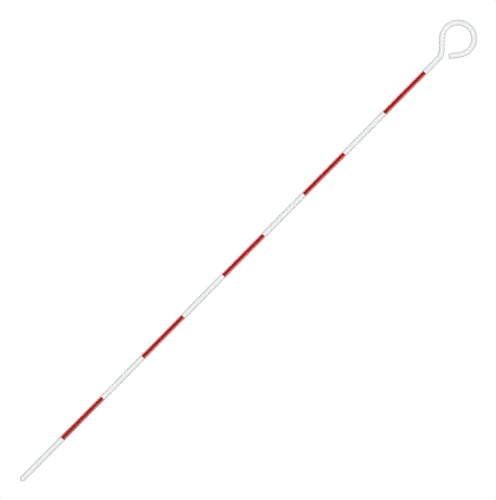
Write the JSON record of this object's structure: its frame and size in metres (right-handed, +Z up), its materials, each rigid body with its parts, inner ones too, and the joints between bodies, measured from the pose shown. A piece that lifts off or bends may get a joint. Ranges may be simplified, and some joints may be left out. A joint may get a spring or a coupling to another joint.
{
  "type": "pin pole",
  "caption": "Straight round steel bar with a blunt point, an open eye bent at the top and alternating white and red enamel bands, pushed into the ground as a sighting mark.",
  "frame": {"origin": "middle of the enamelled nose at the pole's lower end", "axes": "+Z runs up the straight shank from the point to the eye; the eye lies in the XZ plane with its neck leaning towards -X and its cut end on the +X side; +Y is square to the eye"},
  "size_m": [0.0664, 0.0102, 1.1203],
  "materials": {
    "steel": "drawn bar, bare under the enamel",
    "white_enamel": "matt white enamel",
    "red_enamel": "semi-gloss red enamel"
  },
  "bodies": {
    "root": {"steel_bar": "steel", "white_band_1": "white_enamel", "red_band_1": "red_enamel", "white_band_2": "white_enamel", "red_band_2": "red_enamel", "white_band_3": "white_enamel", "red_band_3": "red_enamel", "white_band_4": "white_enamel", "red_band_4": "red_enamel", "white_band_5": "white_enamel", "red_band_5": "red_enamel", "white_eye_coat": "white_enamel"}
  },
  "joints": []
}
